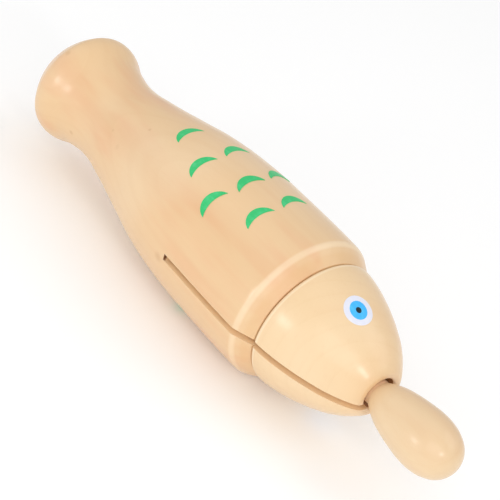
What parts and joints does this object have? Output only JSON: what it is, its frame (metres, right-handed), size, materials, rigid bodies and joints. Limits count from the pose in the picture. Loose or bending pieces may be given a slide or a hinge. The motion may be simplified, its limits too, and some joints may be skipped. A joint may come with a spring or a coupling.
{
  "type": "fish-shaped wooden slit block with beater",
  "caption": "Turned wooden fish with a saw slit along its front half, a hollow body, painted eyes and scale marks, and an egg-headed beater stored in its mouth.",
  "frame": {"origin": "centre of the small flat on the tail end, on the turning axis", "axes": "+X along the turning axis towards the mouth; +Z square to the saw slit, on the painted side that faces up; Y across the fish"},
  "size_m": [0.2168, 0.055, 0.055],
  "materials": {
    "body_wood": "clear satin varnish over pale pinkish wood, grain along the fish",
    "head_wood": "clear satin varnish over pale yellowish wood, with fine turning lines",
    "stick_wood": "bare wooden dowel",
    "beater_wood": "clear satin varnish over pale wood",
    "green_paint": "thin green printed paint",
    "white_paint": "thin white printed paint",
    "blue_paint": "thin blue printed paint",
    "black_paint": "thin near-black printed paint"
  },
  "bodies": {
    "fish": {"body_shell": "body_wood", "head_upper": "head_wood", "lower_jaw": "head_wood", "scale_mark_1_top": "green_paint", "scale_mark_2_top": "green_paint", "scale_mark_3_top": "green_paint", "scale_mark_4_top": "green_paint", "scale_mark_5_top": "green_paint", "scale_mark_6_top": "green_paint", "scale_mark_7_top": "green_paint", "scale_mark_8_top": "green_paint", "scale_mark_1_under": "green_paint", "scale_mark_2_under": "green_paint", "scale_mark_3_under": "green_paint", "scale_mark_4_under": "green_paint", "scale_mark_5_under": "green_paint", "scale_mark_6_under": "green_paint", "scale_mark_7_under": "green_paint", "scale_mark_8_under": "green_paint", "eye_white_top": "white_paint", "eye_iris_top": "blue_paint", "eye_pupil_top": "black_paint", "eye_white_under": "white_paint", "eye_iris_under": "blue_paint", "eye_pupil_under": "black_paint"},
    "beater": {"beater_stick": "stick_wood", "beater_head": "beater_wood"}
  },
  "joints": [
    {"name": "beater_pull", "type": "slide", "parent": "fish", "child": "beater", "axis": [0.9999, 0.01, 0.01], "range_m": [0, 0.115]}
  ]
}
